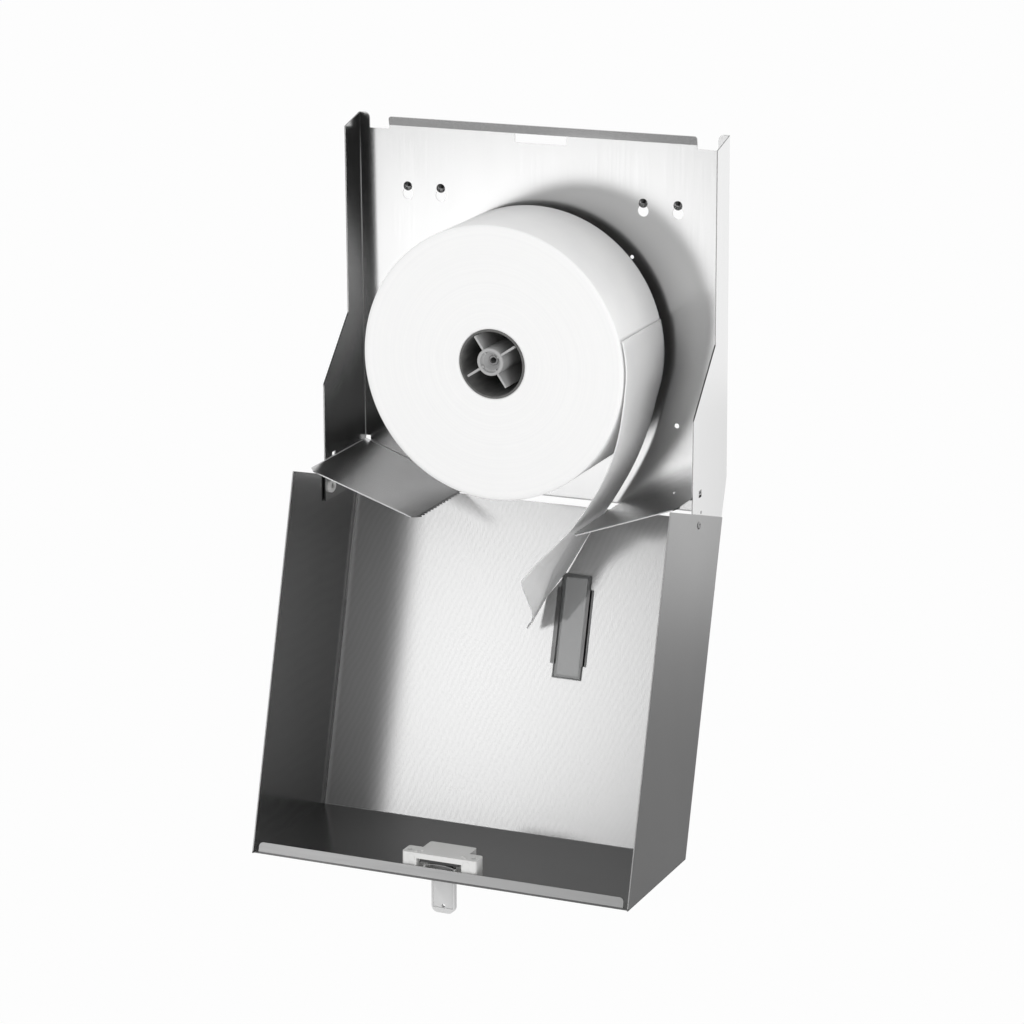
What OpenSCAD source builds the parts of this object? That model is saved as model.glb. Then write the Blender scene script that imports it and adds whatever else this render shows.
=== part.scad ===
// Jumbo toilet roll dispenser, shown open for refilling: a folded steel back plate that carries a finned
// spindle, a wound roll and two toothed tear plates, and a steel cover that swings down on two pins.
// X runs across, Y into the wall and Z up. The wall is the plane y = 0, and z = 0 is the line of the
// wall screws, midway between them. All sizes are millimetres.

/* [Back plate] */
// Width over the side flanges
body_w = 346; // [320:1:370]
// Height of the back plate
plate_h = 331.7; // [325:0.1:345]
// Sheet thickness of the back plate
plate_t = 1.2; // [1:0.1:1.5]
// Outside radius of the folds in the back plate
fold_r = 2; // [1.6:0.1:3]
// Depth of the side flanges at their top
flange_top_d = 30.5; // [26:0.5:34]
// Drop of the sloping top edge of the side flanges
flange_top_drop = 8.4; // [6:0.1:9]
// Depth of the side flanges around the hinge
flange_low_d = 85; // [83:0.5:88]
// Distance of the flange's kink below the top edge
kink_drop = 174; // [165:1:185]
// Height of the sloping stretch between the kink and the deep part
kink_h = 54.3; // [45:0.1:65]
// How far the side flanges reach below the plate
flange_over = 1.7; // [1:0.1:1.7]
// Distance from the top edge down to the line of the wall screws
key_line = 63.3; // [56:0.1:72]
// Half spacing of the outer wall screws
key_x_outer = 126.5; // [118:0.5:134]
// Half spacing of the inner wall screws
key_x_inner = 94.8; // [88:0.5:102]
// Diameter of the round part of a keyhole
key_round_dia = 10; // [9:0.1:11]
// Width of the narrow part of a keyhole
key_neck_w = 4.8; // [4.4:0.1:5.4]
// Distance from the screw down to the round part of the keyhole
key_round_drop = 6.6; // [6.4:0.1:9]
// Head diameter of a wall screw
screw_head_dia = 8.2; // [7.5:0.1:9]
// Shank diameter of a wall screw
screw_dia = 4; // [3.5:0.1:4.2]
// Half spacing of the lower fixing holes
low_hole_x = 126.7; // [118:0.1:134]
// Distance of the lower fixing holes above the plate's lower edge
low_hole_up = 75.3; // [65:0.1:90]
// Diameter of the lower fixing holes
low_hole_dia = 4.4; // [4:0.1:5]
// Half spacing of the middle fixing holes
mid_hole_x = 84.8; // [78:0.1:92]
// Distance of the middle fixing holes below the top edge
mid_hole_drop = 110.7; // [100:0.1:120]
// Diameter of the middle fixing holes
mid_hole_dia = 3.4; // [3:0.1:4]
// Half width of the folded lip in the middle of the top edge
lip_x = 143.7; // [135:0.1:150]
// Distance of the lip's fold line below the top edge
lip_drop = 10.2; // [9:0.1:11]
// Length of the folded lip
lip_len = 7.6; // [6:0.1:8]
// Forward lean of the folded lip in degrees
lip_lean = 9; // [4:0.5:10]
// Width of the notch between the lip and the corner tab
notch_w = 18.8; // [15:0.1:22]
// Depth of the notch beside the lip
notch_h = 13.7; // [12:0.1:16]
// Width of the slot that the latch enters
latch_slot_w = 48; // [44:0.5:56]
// Height of the slot that the latch enters
latch_slot_h = 7.8; // [7:0.1:9]

/* [Tear plates] */
// Sheet thickness of the tear plates
tear_t = 1; // [0.8:0.1:1]
// Height of the tear plates' outer edge above the plate's lower edge
tear_up = 36.2; // [34:0.1:38]
// Half width of the gap that the paper leaves through, between the tooth tips
tear_gap = 71.4; // [66:0.1:76]
// Depth of the tear plates at the gap
tear_d = 111.2; // [104:0.1:116]
// Extra depth of the tear plates at the flanges
tear_d_extra = 5.6; // [3:0.1:7]
// Pitch of the teeth
tooth_pitch = 6.2; // [5:0.1:8]
// Depth of the teeth
tooth_h = 2.6; // [2:0.1:3.2]

/* [Hinge] */
// Distance of the hinge pins from the wall
hinge_d = 74.5; // [74:0.1:76]
// Height of the hinge pins above the plate's lower edge
hinge_up = 10.5; // [10:0.1:12]
// Angle between the closed and the open cover
open_a = 163.4; // [160:0.1:163.4]
// Diameter of a hinge pin
pin_dia = 5; // [4:0.1:6]
// Radial running clearance between a pin and its bush
pin_clear = 0.05; // [0.03:0.01:0.08]
// Diameter of a pin's rivet head
pin_head_dia = 7; // [6.5:0.1:9]
// Outside diameter of a bush's flange
bush_dia = 13; // [11:0.1:13]
// Thickness of a bush's flange
bush_t = 2.5; // [2:0.1:3]

/* [Cover] */
// Sheet thickness of the cover
cover_t = 1; // [0.8:0.1:1.2]
// Gap between the side flanges and the cover's walls
side_gap = 0.8; // [0.6:0.1:1.2]
// Distance of the closed cover's front face from the wall
cover_d = 137.4; // [134:0.1:142]
// Gap between the wall and the closed cover's side walls
wall_gap = 1.9; // [1.8:0.1:3]
// Height of the closed cover's top above the plate's top edge, at the rear
cover_over = 2; // [1.8:0.1:3]
// Fall of the cover's top wall towards the front, in degrees
top_fall = 15.3; // [14:0.1:15.6]
// Reach of the cover's side walls below the hinge
cover_under = 8.9; // [8:0.1:9.4]
// Gap between the hinge's height and the lower edge of the front panel
panel_under = 4.8; // [4:0.1:4.8]
// Outside radius of the cover's upright corners
corner_r = 5.5; // [4:0.1:6.5]
// Height of the folded lip along the cover's rear edge
cover_lip_h = 9; // [7.5:0.1:9]
// Distance of that lip from the wall
cover_lip_y = 3.4; // [3.2:0.1:3.6]
// Gap between the end of that lip and the side wall
cover_lip_gap = 4.3; // [3:0.1:6]

/* [Spindle and roll] */
// Height of the spindle's axis above the plate's lower edge
spindle_up = 145.6; // [142:0.1:150]
// Outside diameter of the spindle's hub
hub_dia = 24.6; // [22:0.1:26]
// Distance of the hub's front face from the wall
hub_d = 113.5; // [110:0.1:116]
// Radius at the tips of the fins
fin_r = 25.5; // [24:0.1:26]
// Thickness of a fin
fin_t = 2; // [1.6:0.1:2.4]
// Angle of the first fin above the horizontal; the others follow in quarter turns
fin_a = 34; // [31:1:40]
// Diameter of the spindle's foot on the back plate
foot_dia = 62; // [56:1:66]
// Thickness of the spindle's foot
foot_t = 3; // [2.5:0.1:4]
// Diameter of the wound roll
roll_dia = 239; // [225:1:242]
// Width of the roll
roll_w = 95.9; // [90:0.1:96]
// Gap between the wall and the rear of the roll
roll_back = 12.6; // [11:0.1:13]
// Outside diameter of the roll's core
core_dia = 60; // [58:0.1:62]
// Wall of the core
core_t = 2; // [1.6:0.1:2.2]

/* [Paper end] */
// Thickness of the paper's solid
paper_t = 0.6; // [0.5:0.1:0.8]
// Height that the loose end hangs below the tear plates
tail_h = 107; // [90:1:115]

/* [Window] */
// Distance of the window's middle from the cover's centre line
window_x = 46; // [40:0.1:52]
// Width of the clear insert
window_w = 27.1; // [24:0.1:30]
// Height of the clear insert
window_h = 92.5; // [80:0.1:100]
// Height of the insert's lower edge above the hinge
window_up = 54.6; // [45:0.1:65]
// Thickness of the insert
window_t = 2; // [1.6:0.1:2.4]
// Border of the insert around its opening
window_rim = 3.4; // [2.5:0.1:4]
// Length of the rails that hold the insert
rail_len = 67.5; // [50:0.1:75]

/* [Lock] */
// Width of the lock's housing over its ears
lock_w = 69; // [66:0.1:74]
// Height of the housing above the cover's top wall
lock_h = 19.7; // [18.6:0.1:21]
// Depth of the housing's ears
ear_d = 15.8; // [14.5:0.1:17]
// Width of the housing's rear block
block_w = 43.4; // [38:0.1:50]
// Depth of the whole housing
lock_d = 31.8; // [28:0.1:34]
// Distance of the housing behind the cover's lip fold
lock_back = 4.2; // [4:0.1:5]
// Half spacing of the lock's screws
lock_screw_x = 29.7; // [28:0.1:31]
// Width of the key
key_w = 21.4; // [19:0.1:23]
// Thickness of the key
key_t = 4.9; // [4:0.1:5.2]
// Reach of the key outside the top wall
key_out = 34.4; // [30:0.1:38]
// Reach of the key inside the housing
key_in = 15.5; // [15:0.1:16.5]
// Running gap around the key and the latch
slide_gap = 0.25; // [0.2:0.01:0.3]
// Width of the latch
latch_w = 36; // [32:0.1:40]
// Thickness of the latch
latch_t = 2.6; // [2.2:0.1:2.8]

/* [Hidden] */
$fn = 64;

// Overrun of a cut past the face it opens, and the rest gap between pieces that only lean on each other
cut = 5;
rest_gap = 0.3;

// Finishes, as shares of full brightness
steel = [0.72, 0.72, 0.73];
steel_dark = [0.45, 0.45, 0.46];
paper = [0.96, 0.96, 0.95];
card = [0.72, 0.71, 0.68];
plastic_grey = [0.58, 0.58, 0.58];
plastic_white = [0.93, 0.93, 0.92];
clear_tint = [0.3, 0.32, 0.32, 0.5];

// Heights below are counted from the plate's top edge, downwards as negative values
plate_low = -plate_h;
hinge_z = plate_low + hinge_up;
flange_low = plate_low - flange_over;
lip_z = -lip_drop;
slot_top_gap = 0.2;
spindle_z = plate_low + spindle_up;
flange_in = body_w / 2 - plate_t;
flange_x = body_w / 2;

// Corners of the lip, and the domed head of a wall screw with its crossed recess
top_lip_corner_r = 2.5;
screw_dome_t = 2.7;
screw_recess_len = 4.1;
screw_recess_w = 0.8;
screw_recess_d = 1.4;

// The rear lower corner of each flange is cut back, and the plate is relieved beside it
corner_cut_y = 13.3;
corner_cut_up = 38.7;
corner_cut_low = 2.9;
relief_w = 6;
tab_corner_r = 5;
flange_mid_extra = 1;
flange_kink_short = 2;

// Tear plates: a fall of the plate from the flange to the gap, so that its underside clears the cover
tear_out_z = plate_low + tear_up;
tear_sink_share = 0.7;
tear_in_z = plate_low - tear_sink_share * tear_t;
tear_run = flange_in - tear_gap;
tear_a = atan((tear_out_z - tear_in_z) / tear_run);
tear_len = tear_run / cos(tear_a);
tear_toe = tear_t * tan(tear_a);
tear_back = plate_t + rest_gap;
tear_clip_x = 5.2;
tear_clip_y = 11;
tear_nose_r = 5;
leg_y0 = 56;
leg_y1 = 70;
leg_h = 20.5;
rivet_y = 64.5;
rivet_down = 17;
rivet_dia = 3.2;
rivet_head_dia = 6;
rivet_head_t = 1;
tab_y = 67;
tab_w = 5;
tab_slot = 6.4;
drain_x = 105.6;
drain_y = 20.9;
drain_dia = 4;
slit_x = 132.3;
slit_y = 21.7;
slit_len = 16;
slit_w = 1.6;
slit_turn = 18;

// Hinge: the sleeve of the bush spaces the cover's wall off the flange
cover_in_x = flange_x + side_gap;
cover_out_x = cover_in_x + cover_t;
bush_wall = 1.5;
bush_sleeve_dia = pin_dia + 2 * bush_wall;
bush_end_gap = 0.15;
pin_in = 1.4;
pin_head_t = 0.9;

// Cover, in its closed place
panel_out_y = -cover_d;
panel_in_y = -cover_d + cover_t;
cover_low = hinge_z - cover_under;
panel_low = hinge_z - panel_under;
top_in_z = cover_over - cover_t;
lip_end_x = cover_in_x - cover_lip_gap;
cover_lip_corner_r = 4;

// Roll: it hangs on the facing edges of the two upper fins, so its centre lies below the spindle's axis
roll_r = roll_dia / 2;
core_r = core_dia / 2;
core_in_r = core_r - core_t;
fin_reach = norm([fin_r, fin_t / 2]);
fin_edge_a = 45 - atan(fin_t / 2 / fin_r);
roll_sag = sqrt(pow(core_in_r - rest_gap, 2) - pow(fin_reach * sin(fin_edge_a), 2))
    - fin_reach * cos(fin_edge_a);
roll_x = -roll_sag * cos(fin_a + 45);
roll_z = spindle_z - roll_sag * sin(fin_a + 45);
roll_front = roll_back + roll_w;
foot_screw_r = 22;
foot_screw_dia = 3.6;
foot_screw_head_dia = 7;
foot_screw_head_t = 1.8;
foot_screws = 4;
hub_recess_dia = 18;
hub_recess_d = 3;
hub_cone_dia = 13;
hub_cone_d = 9;
tube_dia = 8;
tube_bore_dia = 5;
tube_back = 8.5;
fin_back = 1;

// Paper end: it leaves the roll on the right, passes the right tear plate's teeth and hangs below
lead_rows = 14;
lead_arc_rows = 6;
paper_cols = 6;
lead_start_a = 14;
// How far before the tangent point each edge leaves the roll, in degrees
lead_early_front_a = 20.5;
lead_early_back_a = 5.5;
lead_gap_front = 2.2;
lead_gap_back = 2 * rest_gap;
lead_bulge_front = 12.6;
lead_bulge_back = 5.6;
lead_end_gap = 1.9;
lead_end_up = 1.7;
paper_side = 1.2;
paper_lay_a = 25;
// Where the crease lies across the hanging end, as a share of the roll's width from its front
crease_share = 1 / 3;
// Each row holds the front edge, the crease and the back edge of the hanging end, as shares: x and z of
// the hanging height, y of the roll's width from its front
tail_shares = [
    [[0, 0.00, 0], [0, crease_share, 0], [0, 1, 0]],
    [[-0.150, 0.02, -0.155], [-0.130, 0.26, -0.215], [-0.125, 0.915, -0.195]],
    [[-0.300, 0.04, -0.300], [-0.230, 0.24, -0.400], [-0.300, 0.770, -0.545]],
    [[-0.375, 0.05, -0.385], [-0.300, 0.23, -0.620], [-0.450, 0.690, -0.765]],
    [[-0.443, 0.06, -0.470], [-0.410, 0.26, -0.830], [-0.550, 0.500, -1.000]]
];

// Window and its rails, inside the front panel
window_low = hinge_z + window_up;
window_wall = 1;
rail_t = 0.8;
rail_foot_w = 3;
rail_lap = 1.6;
rail_side_gap = rest_gap;

// Lock, in the frame of the cover's top wall: x across, y forwards along the wall as negative values,
// z away from the wall as negative values
lock_corner_r = 2.5;
cavity_w = 42;
cavity_low = 6;
cavity_roof = 4.8;
cavity_top = lock_h - cavity_roof;
latch_top = cavity_top - slide_gap;
latch_low = latch_top - latch_t;
latch_back = 0.8;
latch_d = 6.6;
latch_notch_w = 12;
latch_notch_d = 3.3;
latch_notch_t = 1.3;
key_front = 12.6;
key_corner_r = 6;
key_edge_r = 1.5;
key_hole_dia = 3.4;
key_hole_up = 6.4;
key_rim = 1.5;
key_dish = 0.8;
key_neck = 6;
key_dish_end = 4.5;
channel_lap = 2.5;
rib_x = 14;
rib_w = 1.2;
leaf_t = 0.5;
leaf_rise = 1.7;
leaf_d = 4;
ear_hole_dia = 3.8;
ear_hole_back = 6.7;
lock_screw_dia = 3;
lock_screw_head_h = 8;
lock_screw_head_t = 2;
screw_fit = 0.05;
boss_dia = 3;
boss_h = 0.5;
boss_places = [[-22.6, 8.4], [-18.7, 12.2], [18.7, 12.2], [22.6, 8.4]];
front_boss_dia = 6;
front_boss_t = 0.4;
front_boss_x = 25.5;
front_boss_h = 15.4;

// Frame of the heights above: the plate's top edge is key_line above the origin
module from_top() { translate([0, 0, key_line]) children(); }

// Frame of the cover: what is drawn closed comes out swung open about the hinge
module on_cover() {
    from_top() translate([0, -hinge_d, hinge_z]) rotate([open_a, 0, 0])
        translate([0, hinge_d, -hinge_z]) children();
}

// Frame of the cover's top wall, whose inner face is its plane z = 0
module on_top_wall() {
    on_cover() translate([0, -cover_lip_y, top_in_z]) rotate([top_fall, 0, 0]) children();
}

// Copies on the right and, mirrored, on the left
module both_sides() {
    children();
    mirror([1, 0, 0]) children();
}

// An outline drawn as depth from the wall and height, pulled out along X from x0
module along_x(x0, width) {
    translate([x0 + width, 0, 0]) rotate([90, 0, -90]) linear_extrude(width) children();
}

// A hole or pin along Y, from depth y0 to depth y1 in front of the wall
module along_y(y0, y1, dia) {
    translate([0, -y0, 0]) rotate([90, 0, 0]) cylinder(d = dia, h = y1 - y0);
}

// A rectangle with round corners on the given sides only, from circles and squares
module soft_rect(width, depth, r) {
    translate([-width / 2, r]) square([width, depth - 2 * r]);
    translate([-width / 2 + r, 0]) square([width - 2 * r, depth]);
    for (x = [-width / 2 + r, width / 2 - r], y = [r, depth - r]) translate([x, y]) circle(r);
}

// Plan of a folded channel: round outer corners at the closed side y = 0, open towards -y
module channel_plan(width, depth, r) {
    translate([-width / 2, -depth]) square([width, depth - r]);
    translate([-width / 2 + r, -depth]) square([width - 2 * r, depth]);
    for (x = [-width / 2 + r, width / 2 - r]) translate([x, -r]) circle(r);
}

// Side outline of a flange, as depth and height
module flange_outline() {
    polygon([
        [-cut, 0], [0, 0], [flange_top_d, -flange_top_drop], [flange_top_d + flange_mid_extra, -kink_drop],
        [flange_low_d - flange_kink_short, -kink_drop - kink_h],
        [flange_low_d, flange_low], [-cut, flange_low]
    ]);
}

// One keyhole, its screw at the origin
module keyhole() {
    along_y(-cut, plate_t + cut, key_neck_w);
    translate([-key_neck_w / 2, -plate_t - cut, -key_round_drop])
        cube([key_neck_w, plate_t + 2 * cut, key_round_drop]);
    translate([0, 0, -key_round_drop]) along_y(-cut, plate_t + cut, key_round_dia);
}

// The part of the plate's top edge that is cut away between the corner tabs
module top_edge_cuts() {
    translate([-lip_x - notch_w, -fold_r - cut, lip_z])
        cube([2 * (lip_x + notch_w), fold_r + 2 * cut, lip_drop + cut]);
    both_sides() {
        translate([lip_x, -fold_r - cut, -notch_h]) cube([notch_w, fold_r + 2 * cut, notch_h + cut]);
        translate([lip_x + notch_w, 0, 0]) difference() {
            translate([-tab_corner_r, -plate_t - cut, -tab_corner_r])
                cube([2 * tab_corner_r, plate_t + 2 * cut, tab_corner_r + cut]);
            translate([tab_corner_r, 0, -tab_corner_r])
                along_y(-2 * cut, plate_t + 2 * cut, 2 * tab_corner_r);
            translate([0, -plate_t - 2 * cut, -2 * tab_corner_r])
                cube([2 * tab_corner_r + cut, plate_t + 4 * cut, tab_corner_r]);
        }
    }
}

// The lip, a flap that leans forward from its fold line
module top_lip() {
    translate([0, -plate_t / 2, lip_z]) rotate([lip_lean, 0, 0]) {
        translate([0, plate_t / 2, 0]) rotate([90, 0, 0]) linear_extrude(plate_t) {
            translate([-lip_x, 0]) square([2 * lip_x, lip_len - top_lip_corner_r]);
            soft_rect(2 * lip_x, lip_len, top_lip_corner_r);
        }
        rotate([0, 90, 0]) translate([0, 0, -lip_x]) cylinder(d = plate_t, h = 2 * lip_x);
    }
}

// Openings in both flanges: the bush's seat, the tear plate's tab slot and its rivet
module flange_openings() {
    both_sides() translate([flange_in - cut, 0, 0]) {
        translate([0, -hinge_d, hinge_z]) rotate([0, 90, 0])
            cylinder(d = bush_sleeve_dia, h = plate_t + 2 * cut);
        translate([0, -tab_y - tab_slot / 2, tear_out_z - tab_slot / 2])
            cube([plate_t + 2 * cut, tab_slot, tab_slot]);
        translate([0, -rivet_y, tear_out_z - rivet_down]) rotate([0, 90, 0])
            cylinder(d = rivet_dia, h = plate_t + 2 * cut);
    }
}

// The folded blank: a channel open to the front, trimmed to the side outline of its flanges
module folded_blank() {
    intersection() {
        translate([0, 0, flange_low]) linear_extrude(-flange_low) difference() {
            channel_plan(body_w, flange_low_d + cut, fold_r);
            translate([0, -plate_t])
                channel_plan(body_w - 2 * plate_t, flange_low_d + 2 * cut, fold_r - plate_t);
        }
        along_x(-body_w, 2 * body_w) flange_outline();
    }
}

module back_plate() {
    color(steel) from_top() difference() {
        union() {
            difference() {
                folded_blank();
                top_edge_cuts();
            }
            top_lip();
        }
        translate([-flange_x + relief_w, -fold_r, flange_low - cut])
            cube([body_w - 2 * relief_w, fold_r + cut, flange_over + cut]);
        both_sides() translate([flange_x - relief_w, -plate_t - cut, flange_low - cut])
            cube([relief_w - plate_t, plate_t + 2 * cut, corner_cut_up + flange_over + cut]);
        both_sides() along_x(flange_x - relief_w, relief_w + cut) polygon([
            [-cut, plate_low + corner_cut_up], [0, plate_low + corner_cut_up],
            [corner_cut_y, flange_low + corner_cut_low], [corner_cut_y, flange_low - cut],
            [-cut, flange_low - cut]
        ]);
        translate([-latch_slot_w / 2, -plate_t - cut, lip_z - slot_top_gap - latch_slot_h])
            cube([latch_slot_w, plate_t + 2 * cut, latch_slot_h]);
        both_sides() {
            for (x = [key_x_outer, key_x_inner]) translate([x, 0, -key_line]) keyhole();
            translate([low_hole_x, 0, plate_low + low_hole_up]) along_y(-cut, plate_t + cut, low_hole_dia);
            translate([mid_hole_x, 0, -mid_hole_drop]) along_y(-cut, plate_t + cut, mid_hole_dia);
        }
        flange_openings();
    }
}

// Plan of a tear plate on its slope: s runs down from the flange, t forwards from the wall
teeth = floor((tear_d - tear_clip_y - tear_back) / tooth_pitch);
function down_slope(x) = (flange_in - x) / cos(tear_a);
module tear_plan() {
    tooth_root = tear_len - tooth_h;
    first = tear_d - tear_clip_y;
    polygon(concat(
        [[tear_toe, tear_back], [tear_toe, tear_d + tear_d_extra - tear_nose_r],
         [tear_nose_r, tear_d + tear_d_extra], [down_slope(tear_gap + tear_clip_x), tear_d],
         [tear_len, first]],
        [for (i = [0:teeth - 1], k = [0, 1])
            [k == 0 ? tooth_root : tear_len, first - tooth_pitch * (i + (k == 0 ? 0.5 : 1))]],
        [[tooth_root, tear_back]]
    ));
}

// The right tear plate; the left one is its mirror image
module tear_plate(drained) {
    from_top() {
        difference() {
            translate([flange_in, 0, tear_out_z]) rotate([0, 180 - tear_a, 0]) mirror([0, 1, 0])
                linear_extrude(tear_t) tear_plan();
            if (drained) {
                translate([drain_x, -drain_y, flange_low - tear_up])
                    cylinder(d = drain_dia, h = 2 * tear_up + flange_over);
                translate([slit_x, -slit_y, flange_low - tear_up]) rotate([0, 0, slit_turn])
                    translate([-slit_w / 2, -slit_len / 2, 0])
                        cube([slit_w, slit_len, 2 * tear_up + flange_over]);
            }
        }
        translate([flange_in - tear_t, -tab_y - tab_w / 2, tear_out_z - tear_t])
            cube([tear_t + plate_t, tab_w, tear_t]);
        difference() {
            translate([flange_in - tear_t, -leg_y1, tear_out_z - leg_h])
                cube([tear_t, leg_y1 - leg_y0, leg_h - tear_t / 2]);
            translate([flange_in - tear_t - cut, -rivet_y, tear_out_z - rivet_down]) rotate([0, 90, 0])
                cylinder(d = rivet_dia, h = tear_t + 2 * cut);
        }
    }
}

module tear_plate_right() { color(steel_dark) tear_plate(true); }

// The left plate shows no holes in the photograph
module tear_plate_left() { color(steel_dark) mirror([1, 0, 0]) tear_plate(false); }

module tear_plate_rivets() {
    color(steel) from_top() both_sides()
        translate([0, -rivet_y, tear_out_z - rivet_down]) rotate([0, 90, 0]) {
        translate([0, 0, flange_in - tear_t]) cylinder(d = rivet_dia, h = tear_t + plate_t);
        translate([0, 0, flange_in - tear_t - rivet_head_t]) cylinder(d = rivet_head_dia, h = rivet_head_t);
    }
}

module spindle_hub() {
    color(plastic_grey) from_top() translate([0, 0, spindle_z]) difference() {
        union() {
            along_y(plate_t, plate_t + foot_t, foot_dia);
            along_y(plate_t, hub_d, hub_dia);
            for (i = [0:3]) rotate([0, -fin_a - 90 * i, 0])
                translate([0, -hub_d + fin_back, -fin_t / 2])
                    cube([fin_r, hub_d - fin_back - plate_t, fin_t]);
        }
        along_y(hub_d - hub_recess_d, hub_d + cut, hub_recess_dia);
        along_y(hub_d - hub_cone_d, hub_d + cut, hub_cone_dia);
        along_y(-cut, hub_d + cut, tube_dia);
        for (i = [0:foot_screws - 1]) rotate([0, 90 + i * 360 / foot_screws, 0])
            translate([foot_screw_r, 0, 0]) along_y(-cut, plate_t + foot_t + cut, foot_screw_dia);
    }
}

module spindle_tube() {
    color(steel) from_top() translate([0, 0, spindle_z]) difference() {
        along_y(plate_t, hub_d - tube_back, tube_dia);
        along_y(plate_t + foot_t, hub_d + cut, tube_bore_dia);
    }
}

module spindle_screws() {
    color(steel) from_top() translate([0, 0, spindle_z]) for (i = [0:foot_screws - 1])
        rotate([0, 90 + i * 360 / foot_screws, 0]) translate([foot_screw_r, 0, 0]) {
            along_y(plate_t, plate_t + foot_t, foot_screw_dia);
            along_y(plate_t + foot_t, plate_t + foot_t + foot_screw_head_t, foot_screw_head_dia);
        }
}

// A plastic bush: a flange inside the side flange, and a sleeve through it that spaces the cover
module hinge_bush() {
    from_top() translate([flange_in, -hinge_d, hinge_z]) rotate([0, 90, 0]) difference() {
        union() {
            translate([0, 0, -bush_t]) cylinder(d = bush_dia, h = bush_t);
            cylinder(d = bush_sleeve_dia, h = plate_t + side_gap - bush_end_gap);
        }
        translate([0, 0, -bush_t - cut])
            cylinder(d = pin_dia + 2 * pin_clear, h = bush_t + plate_t + 2 * cut);
    }
}

module hinge_bush_right() { color(plastic_white) hinge_bush(); }

module hinge_bush_left() { color(plastic_white) mirror([1, 0, 0]) hinge_bush(); }

// Screw heads on the plate, their shanks cut off at the wall
module wall_screws() {
    head_r = screw_head_dia / 2;
    ball_r = (head_r * head_r + screw_dome_t * screw_dome_t) / (2 * screw_dome_t);
    color(steel_dark) from_top() both_sides() for (x = [key_x_outer, key_x_inner])
        translate([x, 0, -key_line]) {
            along_y(0, plate_t, screw_dia);
            translate([0, -plate_t, 0]) rotate([90, 0, 0]) difference() {
                intersection() {
                    cylinder(r = head_r, h = screw_dome_t);
                    translate([0, 0, screw_dome_t - ball_r]) sphere(ball_r);
                }
                for (turn = [0, 90]) rotate([0, 0, turn])
                    translate([-screw_recess_len / 2, -screw_recess_w / 2, screw_dome_t - screw_recess_d])
                        cube([screw_recess_len, screw_recess_w, screw_recess_d + cut]);
            }
        }
}

function mix(a, b, u) = a + (b - a) * u;
function flat_y(u) = -mix(roll_front - paper_side, roll_back + paper_side, u);
// Where the leading sheet ends at the teeth, and where a straight line from there touches the roll
function lead_end_x() = tear_gap - lead_end_gap;
function lead_end_z() = plate_low + lead_end_up;
function touch_a() =
    let (away = [lead_end_x() - roll_x, lead_end_z() - roll_z])
    atan2(away[1], away[0]) + acos(roll_r / norm(away));
// A point of the leading sheet: row 0 lies on the roll, the last row at the teeth
function lead_point(row, u) =
    let (gap = mix(lead_gap_front, lead_gap_back, u),
         leave = touch_a() + mix(lead_early_front_a, lead_early_back_a, u),
         r = roll_r + gap,
         from = [roll_x + r * cos(leave), roll_z + r * sin(leave)],
         to = [lead_end_x(), lead_end_z()],
         t = (row - lead_arc_rows) / (lead_rows - lead_arc_rows),
         a = mix(lead_start_a, leave, row / lead_arc_rows),
         span = to - from,
         out = [-span[1], span[0]] / norm(span),
         bulge = mix(lead_bulge_front, lead_bulge_back, u) * sin(180 * t))
    row < lead_arc_rows
        ? [roll_x + r * cos(a), flat_y(u), roll_z + r * sin(a)]
        : [from[0] + span[0] * t + out[0] * bulge, flat_y(u), from[1] + span[1] * t + out[1] * bulge];
// A point of the hanging end: between the front edge, the crease and the back edge of its row
function tail_share(row, u) =
    let (s = tail_shares[row])
    u < crease_share ? mix(s[0], s[1], u / crease_share)
                     : mix(s[1], s[2], (u - crease_share) / (1 - crease_share));
function tail_point(row, u) =
    let (s = tail_share(row, u))
    [lead_end_x() + s[0] * tail_h, flat_y(s[1]), lead_end_z() + s[2] * tail_h];
// A sheet of the paper's thickness through a grid of points
module sheet_solid(grid) {
    rows = len(grid);
    cols = len(grid[0]);
    lay = paper_t * [cos(paper_lay_a), 0, -sin(paper_lay_a)];
    both = [for (k = [0, 1], i = [0:rows - 1], j = [0:cols - 1]) grid[i][j] + k * lay];
    function at(k, i, j) = (k * rows + i) * cols + j;
    polyhedron(both, concat(
        [for (i = [0:rows - 2], j = [0:cols - 2]) each
            [[at(0, i, j), at(0, i + 1, j), at(0, i + 1, j + 1)],
             [at(0, i, j), at(0, i + 1, j + 1), at(0, i, j + 1)],
             [at(1, i, j), at(1, i + 1, j + 1), at(1, i + 1, j)],
             [at(1, i, j), at(1, i, j + 1), at(1, i + 1, j + 1)]]],
        [for (i = [0:rows - 2]) each
            [[at(0, i, 0), at(1, i + 1, 0), at(0, i + 1, 0)], [at(0, i, 0), at(1, i, 0), at(1, i + 1, 0)],
             [at(0, i, cols - 1), at(0, i + 1, cols - 1), at(1, i + 1, cols - 1)],
             [at(0, i, cols - 1), at(1, i + 1, cols - 1), at(1, i, cols - 1)]]],
        [for (j = [0:cols - 2]) each
            [[at(0, 0, j), at(0, 0, j + 1), at(1, 0, j + 1)], [at(0, 0, j), at(1, 0, j + 1), at(1, 0, j)],
             [at(0, rows - 1, j), at(1, rows - 1, j + 1), at(0, rows - 1, j + 1)],
             [at(0, rows - 1, j), at(1, rows - 1, j), at(1, rows - 1, j + 1)]]]
    ));
}

module paper_lead() {
    color(paper) from_top() sheet_solid([for (i = [0:lead_rows])
        [for (j = [0:paper_cols]) lead_point(i, j / paper_cols)]]);
}

module paper_tail() {
    color(paper) from_top() sheet_solid([for (i = [0:len(tail_shares) - 1])
        [for (j = [0:paper_cols]) tail_point(i, j / paper_cols)]]);
}

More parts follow.
